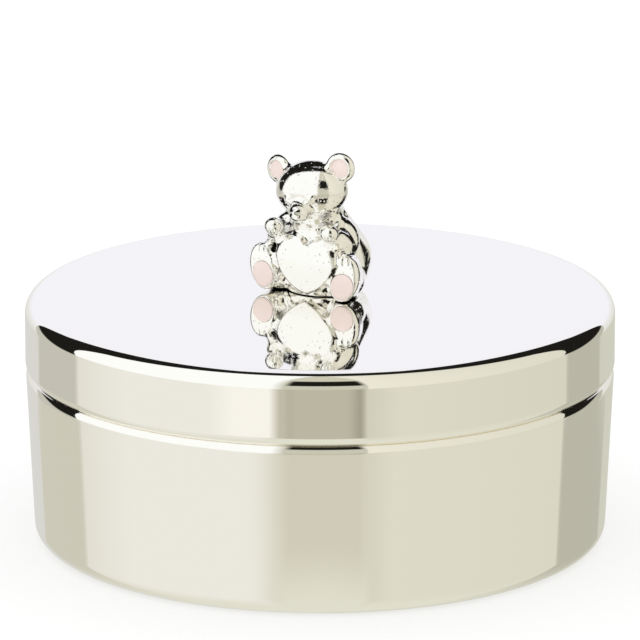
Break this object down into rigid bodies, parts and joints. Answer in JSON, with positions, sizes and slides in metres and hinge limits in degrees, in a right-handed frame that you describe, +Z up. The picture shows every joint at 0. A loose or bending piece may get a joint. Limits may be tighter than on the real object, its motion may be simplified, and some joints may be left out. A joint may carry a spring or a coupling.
{
  "type": "baby tooth box",
  "caption": "Round silver-plated keepsake box for milk teeth, with a lift-off lid on an inner collar and a cast teddy bear holding a heart, its ears and soles filled with pink enamel.",
  "frame": {"origin": "centre of the underside, on the plane of the standing ring", "axes": "+Z up along the box's axis, -Y towards the front that the picture shows, +X to its right"},
  "size_m": [0.08, 0.08, 0.054],
  "materials": {
    "silver_plate": "mirror-polished silver plate on drawn brass",
    "silver_casting": "polished silver plate on a zinc casting, with fine casting pits",
    "pink_enamel": "glossy pale pink cold enamel, slightly domed",
    "velvet": "dark blue short-pile velvet over card",
    "zinc_steel": "zinc-plated steel"
  },
  "bodies": {
    "base": {"base_shell": "silver_plate", "inner_collar": "silver_plate", "floor_pad": "velvet"},
    "lid": {"lid_shell": "silver_plate", "lid_pad": "velvet", "figure_screw": "zinc_steel", "screw_washer": "zinc_steel", "bear_figure": "silver_casting", "ear_enamel_left": "pink_enamel", "ear_enamel_right": "pink_enamel", "foot_enamel_left": "pink_enamel", "foot_enamel_right": "pink_enamel"}
  },
  "joints": [
    {"name": "lid_lift", "type": "slide", "parent": "base", "child": "lid", "axis": [0, 0, 1], "range_m": [0, 0.04]}
  ]
}
